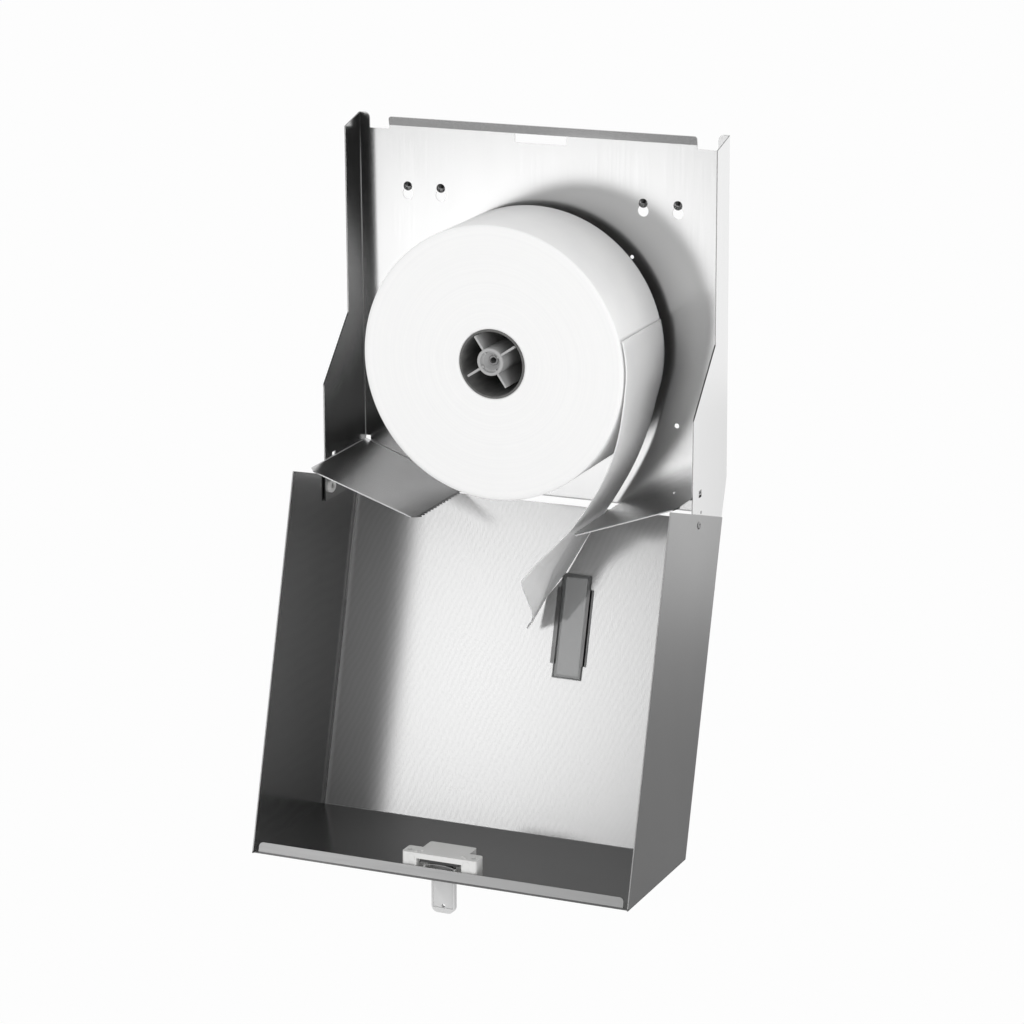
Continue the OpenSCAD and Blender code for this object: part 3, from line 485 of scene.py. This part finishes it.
smoky, tree, shader = new_finish("smoky_insert", 0.08)
shader.inputs["Base Color"].default_value = (0.22, 0.225, 0.225, 1)
shader.inputs["Alpha"].default_value = 0.7
shader.inputs["Specular IOR Level"].default_value = 1.0
haze = stretched_noise(tree, (200, 200, 200), 2.0)
tree.links.new(in_range(tree, haze, 0.06, 0.12), shader.inputs["Roughness"])
describe(smoky)

# %% [markdown]
# Round pieces are turned, as on a lathe: a profile of points is spun about its axis. Every new piece ends
# the same way: its mesh is placed, its faces are pointed outwards, and it is hung on its body in place of
# the CAD solid it stands for.

# %% Helpers for pieces
def turned(bm, profile, steps, closed=True):
    points = [bm.verts.new((r, 0, h)) for r, h in profile]
    edges = [bm.edges.new(pair) for pair in zip(points, points[1:])]
    if closed:
        edges.append(bm.edges.new((points[-1], points[0])))
    bmesh.ops.spin(bm, geom=points + edges, cent=(0, 0, 0), axis=(0, 0, 1), angle=math.tau, steps=steps,
                   use_merge=True)
    bmesh.ops.remove_doubles(bm, verts=bm.verts, dist=0.0005)


def block(bm, size, middle, turn):
    shape = Matrix.Translation(middle) @ turn @ Matrix.Diagonal((*size, 1))
    return bmesh.ops.create_cube(bm, size=1, matrix=shape)["verts"]


def make_piece(name, bm, placed, body, replaced, finish, sharp=35):
    bmesh.ops.transform(bm, matrix=placed, verts=bm.verts)
    bmesh.ops.recalc_face_normals(bm, faces=bm.faces)
    mesh = bpy.data.meshes.new(name)
    bm.to_mesh(mesh)
    bm.free()
    mesh.shade_smooth()
    mesh.set_sharp_from_angle(angle=math.radians(sharp))
    piece = bpy.data.objects.new(name, mesh)
    piece.data.materials.append(finish)
    bpy.context.collection.objects.link(piece)
    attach(piece, body)
    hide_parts(*replaced)
    print(name, len(mesh.polygons), "faces")
    return piece


def soften(piece, width):
    edge = piece.modifiers.new("soft edges", "BEVEL")
    edge.width = width
    edge.segments = 2
    edge.limit_method = "ANGLE"
    edge.angle_limit = math.radians(40)
    edge.harden_normals = False
    return piece


# Turns a lathe's upright axis towards the viewer, so that height becomes distance from the wall
facing = Matrix.Rotation(math.radians(90), 4, "X")

# %% [markdown]
# The roll is wound tissue. Its face isn't flat: the layers stand a little proud or shy of each other, and
# the edges are slightly rounded. So the profile of the face has many points with small steps, from a seeded
# random sequence.

# %% The wound roll
ROLL_R = 119.5
CORE_R = 30.0
ROLL_BACK = 12.6
ROLL_FRONT = 108.5
FACE_IN = CORE_R + 1.2
FACE_OUT = ROLL_R - 2.4
random.seed(7)
face = []
radius_now = FACE_IN
while radius_now < FACE_OUT:
    face.append((radius_now, random.uniform(-0.14, 0.02)))
    radius_now += random.uniform(1.1, 2.6)
front_face = [(r, ROLL_FRONT + step) for r, step in face]
back_face = [(r, ROLL_BACK - step) for r, step in reversed(face)]
rounding = [(1.0, 0.25), (0.2, 0.9), (0, 2.2)]
outer = [(ROLL_R - inwards, ROLL_FRONT - down) for inwards, down in rounding]
outer += [(ROLL_R - 0.05, ROLL_FRONT - 30), (ROLL_R - 0.1, ROLL_FRONT - 60)]
outer += [(ROLL_R - inwards, ROLL_BACK + up) for inwards, up in reversed(rounding)]
inner = [(CORE_R + 0.05, ROLL_BACK + 0.8), (CORE_R + 0.05, ROLL_FRONT - 0.8)]
bm = bmesh.new()
turned(bm, front_face + outer + back_face + inner, 256)
on_roll = to_metres @ Matrix.Translation((ROLL_X, 0, ROLL_Z)) @ facing
roll = make_piece("tissue_roll", bm, on_roll, "roll", ["paper_roll"], tissue, 60)
roll.data.materials.append(wound_face)
for polygon in roll.data.polygons:
    if abs(polygon.normal.y) > 0.7:
        polygon.material_index = 1

# %% [markdown]
# The core is a spiral-wound card tube. Its ends are cut square and slightly swollen, and its bore shows in
# the photograph around the spindle.

# %% The core
CORE_WALL = 2.0
CORE_SOFT = 0.3
bore = CORE_R - CORE_WALL
bm = bmesh.new()
turned(bm, [(bore + CORE_SOFT, ROLL_FRONT), (CORE_R - CORE_SOFT, ROLL_FRONT), (CORE_R, ROLL_FRONT - 0.4),
            (CORE_R, ROLL_BACK + 0.4), (CORE_R - CORE_SOFT, ROLL_BACK), (bore + CORE_SOFT, ROLL_BACK),
            (bore, ROLL_BACK + 0.5), (bore, ROLL_FRONT - 0.5)], 128)
make_piece("card_core", bm, on_roll, "roll", ["roll_core"], card)

# %% [markdown]
# The spindle is one grey moulding: a foot on the plate, a hub with a stepped and coned mouth, and four fins
# that the core rests on. The hub and foot are turned together, and the fins are blocks with soft edges.

# %% The spindle
SPINDLE_Z = -186.1
HUB_FRONT = 113.5
HUB_R = 12.3
FOOT_R = 31.0
FOOT_BACK = 1.2
FOOT_FRONT = 4.2
SEAT_R = 4.0
MOUTH_R = 9.0
on_spindle = to_metres @ Matrix.Translation((0, 0, SPINDLE_Z)) @ facing
foot = [(SEAT_R, FOOT_BACK), (FOOT_R, FOOT_BACK), (FOOT_R, FOOT_FRONT - 0.6), (FOOT_R - 0.6, FOOT_FRONT)]
hub = [(HUB_R + 2.0, FOOT_FRONT), (HUB_R + 0.6, 5.0), (HUB_R, 7.0), (HUB_R - 0.3, HUB_FRONT - 0.8),
       (HUB_R - 1.0, HUB_FRONT)]
mouth = [(MOUTH_R + 0.6, HUB_FRONT), (MOUTH_R + 0.1, HUB_FRONT - 0.5), (MOUTH_R, HUB_FRONT - 3.0),
         (MOUTH_R - 1.4, HUB_FRONT - 3.2), (SEAT_R + 0.6, HUB_FRONT - 8.6), (SEAT_R, HUB_FRONT - 9.0)]
bm = bmesh.new()
turned(bm, foot + hub + mouth, 96)
print("foot and hub turned:", len(bm.faces), "faces")

# %% The spindle's fins
FIN_IN = 7.5
FIN_R = 25.5
FIN_T = 2.0
FIN_FRONT = HUB_FRONT - 1
FIRST_FIN = 34
for quarter in range(4):
    aside = Matrix.Rotation(math.radians(FIRST_FIN + 90 * quarter), 4, "Z")
    middle = aside @ Vector(((FIN_IN + FIN_R) / 2, 0, (FIN_FRONT + FOOT_FRONT) / 2))
    block(bm, (FIN_R - FIN_IN, FIN_T, FIN_FRONT - FOOT_FRONT), middle, aside)
spindle = make_piece("spindle", bm, on_spindle, "root", ["spindle_hub"], grey_plastic)
SOFT_EDGE = 0.0004
soften(spindle, SOFT_EDGE)

# %% [markdown]
# A steel tube lines the hub, and its end is set back in the mouth. It is turned from one closed profile, so
# that its bore is a real hole.

# %% The spindle's steel tube
TUBE_R = 4.0
TUBE_BORE = 2.5
TUBE_BACK = 4.5
TUBE_FRONT = 106.0
bm = bmesh.new()
turned(bm, [(TUBE_BORE, TUBE_BACK), (TUBE_R, TUBE_BACK), (TUBE_R, TUBE_FRONT - 1.2),
            (TUBE_R - 0.2, TUBE_FRONT - 0.4), (TUBE_R - 0.8, TUBE_FRONT), (TUBE_BORE + 0.1, TUBE_FRONT - 0.4),
            (TUBE_BORE, TUBE_FRONT - 1.2)], 48)
make_piece("spindle_bore_tube", bm, on_spindle, "root", ["spindle_tube"], tube_steel)

# %% [markdown]
# Each hinge is a steel pin that turns in a white plastic bush. Both are turned shapes, with the bush's
# flange rounded over and the pin's head domed like a rivet.

# %% Hinge bushes and pins
FLANGE_IN = 171.8
COVER_OUT = 174.8
RING_IN = FLANGE_IN - 2.5
RING_R = 6.5
BUSH_R = 4.0
BUSH_BORE = 2.55
BUSH_OUT = FLANGE_IN + 1.85
PIN_IN = FLANGE_IN - 1.1
PIN_R = 2.5
HEAD_R = 3.5
bush = [(BUSH_BORE, RING_IN + 0.3), (BUSH_BORE + 0.35, RING_IN), (RING_R - 0.6, RING_IN),
        (RING_R - 0.1, RING_IN + 0.4), (RING_R, RING_IN + 0.9), (RING_R, FLANGE_IN), (BUSH_R, FLANGE_IN),
        (BUSH_R, BUSH_OUT), (BUSH_BORE, BUSH_OUT)]
shank = [(0, PIN_IN), (PIN_R - 0.4, PIN_IN), (PIN_R, PIN_IN + 0.4), (PIN_R, COVER_OUT)]
head = [(HEAD_R, COVER_OUT), (HEAD_R - 0.05, COVER_OUT + 0.3), (HEAD_R - 0.8, COVER_OUT + 0.7),
        (1.6, COVER_OUT + 0.88), (1.2, COVER_OUT + 0.7), (0, COVER_OUT + 0.62)]
for side, name in ((1, "right"), (-1, "left")):
    outward = hinge_line @ Matrix.Rotation(math.radians(90 * side), 4, "Y")
    bm = bmesh.new()
    turned(bm, bush, 64)
    make_piece("bush_" + name, bm, to_metres @ outward, "root", ["hinge_bush_" + name], white_plastic)
    bm = bmesh.new()
    turned(bm, shank + head, 48, False)
    make_piece("pin_" + name, bm, on_cover @ outward, "cover", ["hinge_pin_" + name], screw_steel)

# %% [markdown]
# The loose paper is one soft sheet. It leaves the roll on the right, falls to the teeth of the tear plate,
# bends over them and hangs creased and torn. The sheet starts as a flat grid; each of its points is then
# moved to its place on that path, with small folds added, and a thin solidify gives it its two sides.

# %% The path of the sheet
TEETH_X = 69.5
TEETH_Z = -330.0
SIDE_TRIM = 1.2
LEAD_SHARE = 0.62
ROLL_SHARE = 0.3
LEAD_START = math.radians(14)
# Each pair holds the value at the sheet's front edge and the one at its back edge
LEAD_GAP = (2.2, 0.7)
LEAD_TURN = (20.5, 5.5)
LEAD_BOW = (12.6, 5.6)


def mix(a, b, t):
    return a + (b - a) * t


def smooth(t):
    return t * t * (3 - 2 * t)


touch = math.atan2(TEETH_Z - ROLL_Z, TEETH_X - ROLL_X)
touch += math.acos(ROLL_R / math.hypot(TEETH_X - ROLL_X, TEETH_Z - ROLL_Z))


def round_roll(radius, angle):
    return Vector((ROLL_X + radius * math.cos(angle), 0, ROLL_Z + radius * math.sin(angle)))


def lead_point(t, across):
    radius = ROLL_R + mix(*LEAD_GAP, across)
    leave = touch + math.radians(mix(*LEAD_TURN, across))
    if t < ROLL_SHARE:
        return round_roll(radius, mix(LEAD_START, leave, t / ROLL_SHARE))
    left = round_roll(radius, leave)
    teeth = Vector((TEETH_X, 0, TEETH_Z))
    along = (t - ROLL_SHARE) / (1 - ROLL_SHARE)
    out = Vector((left.z - teeth.z, 0, teeth.x - left.x)).normalized()
    return left.lerp(teeth, along) + out * mix(*LEAD_BOW, across) * math.sin(math.pi * along)


print("the straight line from the teeth touches the roll at", round(math.degrees(touch), 1), "degrees")


# %% [markdown]
# Below the teeth the paper is two flat panes with a crease between them. The table gives the front edge,
# the crease and the back edge on five levels: how far to the left, how far from front to back as a share of
# the paper's width, and how far down, in units of the tail's height. The back edge rests close to the open
# cover, and it stands off a little more where it passes the corner of the clear insert.

# %% The tail
TAIL_H = 107.0
CREASE = 1 / 3
TAIL = [((0, 0.00, 0), (0, CREASE, 0), (0, 1, 0)),
        ((-0.150, 0.02, -0.155), (-0.130, 0.26, -0.215), (-0.132, 0.936, -0.200)),
        ((-0.300, 0.04, -0.300), (-0.230, 0.24, -0.400), (-0.309, 0.794, -0.552)),
        ((-0.375, 0.05, -0.385), (-0.300, 0.23, -0.620), (-0.467, 0.736, -0.777)),
        ((-0.443, 0.06, -0.470), (-0.410, 0.26, -0.830), (-0.550, 0.500, -1.000))]


def tail_point(t, across):
    row = min(int(t * 4), 3)
    front, crease, back = [Vector(a).lerp(Vector(b), t * 4 - row) for a, b in zip(TAIL[row], TAIL[row + 1])]
    if across < CREASE:
        return front.lerp(crease, across / CREASE)
    return crease.lerp(back, (across - CREASE) / (1 - CREASE))


def from_front(share):
    return mix(SIDE_TRIM - ROLL_FRONT, -SIDE_TRIM - ROLL_BACK, share)


def sheet_point(t, across):
    if t < LEAD_SHARE:
        point = lead_point(t / LEAD_SHARE, across)
        return Vector((point.x, from_front(across), point.z))
    place = tail_point((t - LEAD_SHARE) / (1 - LEAD_SHARE), across)
    return Vector((TEETH_X + place.x * TAIL_H, from_front(place.y), TEETH_Z + place.z * TAIL_H))


print("paper hangs", TAIL_H, "mm below the teeth")

# %% [markdown]
# The grid has enough columns and rows for the crease and the ruffles to be smooth. In its last rows each
# column is pulled up or down by a random length of its own, which gives the torn end.

# %% The sheet
PAPER_T = 0.0004
COLUMNS = 36
ROWS = 90
TORN_FROM = 0.97
TEAR = 1.2
RUFFLE = 0.9
BROAD_SHARE = 0.7


def ruffle(across, down):
    broad = math.sin(across * 21 + down * 3)
    fine = math.sin(across * 47 + 1)
    return RUFFLE * smooth(down) * (BROAD_SHARE * broad + (1 - BROAD_SHARE) * fine)


random.seed(11)
rags = [random.uniform(-1, 1) for _ in range(60)]
bm = bmesh.new()
bmesh.ops.create_grid(bm, x_segments=COLUMNS, y_segments=ROWS, size=0.5, calc_uvs=False)
for vert in bm.verts:
    across = vert.co.x + 0.5
    t = 0.5 - vert.co.y
    vert.co = sheet_point(min(t, 1.0), across)
    if t > LEAD_SHARE:
        down = (t - LEAD_SHARE) / (1 - LEAD_SHARE)
        vert.co.x += ruffle(across, down)
        if down > TORN_FROM:
            vert.co.z += TEAR * rags[int(across * COLUMNS) % len(rags)]
STEPS = 200
middle_line = [sheet_point(i / STEPS, 0.5) for i in range(STEPS + 1)]
paper_sheet = make_piece("hanging_paper", bm, to_metres, "root", ["paper_lead", "paper_tail"], thin_tissue,
                         50)
solid = paper_sheet.modifiers.new("two sides", "SOLIDIFY")
solid.thickness = PAPER_T
solid.offset = 0

# %% [markdown]
# Some CAD solids have the right shape but knife-sharp edges. A moulding has soft ones, and they are what
# catches the light. So a copy of the solid is merged, its flat faces are joined again, and its edges are
# bevelled.

# %% Soft-edged copies
SAME_POINT = 0.000002
FINE_EDGE = 0.0003


def soft_copy(name, node, body, finish, width):
    bm = bmesh.new()
    bm.from_mesh(nodes[node].data)
    bmesh.ops.remove_doubles(bm, verts=bm.verts, dist=SAME_POINT)
    bmesh.ops.dissolve_limit(bm, angle_limit=math.radians(1), verts=bm.verts, edges=bm.edges)
    piece = make_piece(name, bm, Matrix.Identity(4), body, [node], finish)
    return soften(piece, width)


soft_copy("lock_case", "lock_housing", "cover", white_plastic, SOFT_EDGE)
soft_copy("lock_latch", "latch", "latch", latch_painted_shade, FINE_EDGE)
soft_copy("cover_key", "key", "key", key_plastic, SOFT_EDGE)
soft_copy("clear_insert", "window_insert", "cover", smoky, FINE_EDGE)

# %% [markdown]
# The room is a white studio. Its floor is far below, as a dispenser hangs at waist height. Rays that come
# straight from the camera, or by way of steel or the clear insert, meet plain white. Matt surfaces get a
# little less light from the room, so that the lamps can shape them.

# %% The room
FLOOR_Z = -1.45
FLOOR_HALF = 30
FLOOR_GLOW = 0.93
FILL = 0.92


def straight_rays(tree):
    rays = add(tree, "ShaderNodeLightPath")
    seen = either(tree, rays.outputs["Is Camera Ray"], rays.outputs["Is Glossy Ray"])
    return either(tree, seen, rays.outputs["Is Transmission Ray"])


floor_paint, tree, shader = new_finish("floor_paint", 0.9)
shader.inputs["Base Color"].default_value = (0.8, 0.8, 0.8, 1)
glow = add(tree, "ShaderNodeEmission", Strength=1.0)
share = add(tree, "ShaderNodeMath", operation="MULTIPLY")
share.inputs[1].default_value = FLOOR_GLOW
mixed = add(tree, "ShaderNodeMixShader")
tree.links.new(straight_rays(tree), share.inputs[0])
tree.links.new(share.outputs["Value"], mixed.inputs["Fac"])
tree.links.new(shader.outputs["BSDF"], mixed.inputs[1])
tree.links.new(glow.outputs["Emission"], mixed.inputs[2])
tree.links.new(mixed.outputs["Shader"], tree.nodes["Material Output"].inputs["Surface"])

floor_mesh = bpy.data.meshes.new("floor")
bm = bmesh.new()
bmesh.ops.create_grid(bm, x_segments=1, y_segments=1, size=FLOOR_HALF,
                      matrix=Matrix.Translation((0, 0, FLOOR_Z)))
bm.to_mesh(floor_mesh)
bm.free()
floor_mesh.materials.append(floor_paint)
floor = bpy.data.objects.new("floor", floor_mesh)
bpy.context.collection.objects.link(floor)
print("floor at", FLOOR_Z, "m")

# %% [markdown]
# The world beyond the floor has the same two levels: white where it is seen, and a little less for matt
# surfaces.

# %% The world
world = bpy.data.worlds.new("studio")
bpy.context.scene.world = world
world.use_nodes = True
tree = world.node_tree
background = tree.nodes["Background"]
background.inputs["Color"].default_value = (1, 1, 1, 1)
level = tree.nodes.new("ShaderNodeMapRange")
level.inputs["To Min"].default_value = FILL
level.inputs["To Max"].default_value = 1.0
tree.links.new(straight_rays(tree), level.inputs["Value"])
tree.links.new(level.outputs["Result"], background.inputs["Strength"])
print("light from the room:", FILL)

# %% [markdown]
# The light comes from the front left, as the roll's shadow on the plate shows. Smooth steel is bright only
# where it mirrors a lamp, and one lamp can't serve two sheets that face different ways. So two soft boxes
# stand side by side: the plate mirrors one, and the open cover's panel the other. A lamp at the right fills
# the paper's shaded side, and isn't mirrored.

# %% The lamps
AIM = Vector((0, 0, -0.25))


def soft_box(name, place, shape, size, power):
    data = bpy.data.lights.new(name, "AREA")
    data.shape = shape
    data.size, data.size_y = size
    data.energy = power
    lamp = bpy.data.objects.new(name, data)
    lamp.location = place
    lamp.rotation_euler = (AIM - Vector(place)).to_track_quat("-Z", "Y").to_euler()
    bpy.context.collection.objects.link(lamp)
    print(name, power, "W")
    return lamp


soft_box("plate_box", (-1.3, -3.06, -0.85), "RECTANGLE", (0.9, 0.85), 4.6)
soft_box("panel_box", (-1.36, -3.06, 0.3), "ELLIPSE", (0.92, 0.92), 4.3)
side_fill = soft_box("side_fill", (2.4, -1.7, -1.0), "SQUARE", (1.4, 1.4), 28)
side_fill.visible_glossy = False

# %% [markdown]
# Polished metal shows the whole room, so photographers stand dark and bright cards beside the camera for it
# to mirror. Each card here is a flat sheet between two opposite corners. The camera doesn't see the cards,
# and they cast neither light nor shadow on the object: they are there in reflections alone.

# %% Where the cards stand
CARDS = [("card_right", 0.02, (-0.5, -3.6, -1.4), (4.2, -3.6, 3.2)),
         ("card_left", 0.3, (-4.5, -3.6, -1.4), (-0.5, -3.6, 3.2)),
         ("card_far_right", 0.02, (4.2, -3.6, -1.4), (4.2, -0.3, 3.2)),
         ("card_above", 0.02, (0, -3.6, 2.4), (4.2, 0.4, 2.4)),
         ("card_above_left", 0.15, (-4.5, -3.6, 2.4), (0, 0.4, 2.4)),
         ("bright_card", 1.7, (-1.7, -3.55, 1.35), (-0.35, -3.55, 2.1)),
         ("card_below", 0.3, (-4.5, -3.6, -1.42), (4.2, -0.6, -1.42)),
         ("card_notch", 0.3, (0.16, 1.0, -0.66), (0.48, 1.0, -0.42)),
         ("card_behind", 0.2, (0.25, 1.0, -1.42), (1.6, 1.0, -0.68))]


def card_corners(low, high):
    across, up = [axis for axis in range(3) if low[axis] != high[axis]]
    for side, end in ((low, low), (high, low), (high, high), (low, high)):
        corner = list(low)
        corner[across] = side[across]
        corner[up] = end[up]
        yield corner


print(len(CARDS), "cards")

# %% The cards
for name, tone, low, high in CARDS:
    paint, tree, shader = new_finish(name, 1.0)
    even = add(tree, "ShaderNodeEmission", Color=(tone, tone, tone, 1))
    tree.links.new(even.outputs["Emission"], tree.nodes["Material Output"].inputs["Surface"])
    mesh = bpy.data.meshes.new(name)
    bm = bmesh.new()
    bm.faces.new([bm.verts.new(corner) for corner in card_corners(low, high)])
    bm.to_mesh(mesh)
    bm.free()
    mesh.materials.append(paint)
    board = bpy.data.objects.new(name, mesh)
    bpy.context.collection.objects.link(board)
    board.visible_camera = False
    board.visible_shadow = False
    board.visible_diffuse = False
    print(name, "has a tone of", tone)
